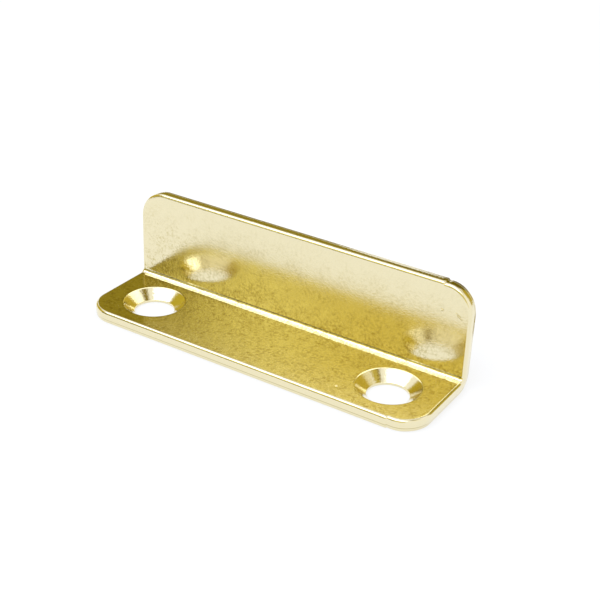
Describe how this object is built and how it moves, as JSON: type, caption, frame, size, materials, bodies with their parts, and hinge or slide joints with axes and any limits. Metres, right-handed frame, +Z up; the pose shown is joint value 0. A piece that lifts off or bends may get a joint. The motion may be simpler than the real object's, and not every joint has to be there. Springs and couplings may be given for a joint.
{
  "type": "angle strike plate",
  "caption": "Folded angle strike plate with rounded corners: a foot countersunk for flat-head screws and an upright lip that catches a lock's bolt.",
  "frame": {"origin": "midway between the two screw holes, on the underside of the foot", "axes": "+X along the fold, +Y from the foot's free edge towards the back of the lip, +Z up out of the seat, the way the screws come out"},
  "size_m": [0.0508, 0.0143, 0.0143],
  "materials": {
    "bright_brass": "bright brass plate on folded steel sheet, tumbled smooth"
  },
  "bodies": {
    "root": {"strike_plate": "bright_brass"}
  },
  "joints": []
}
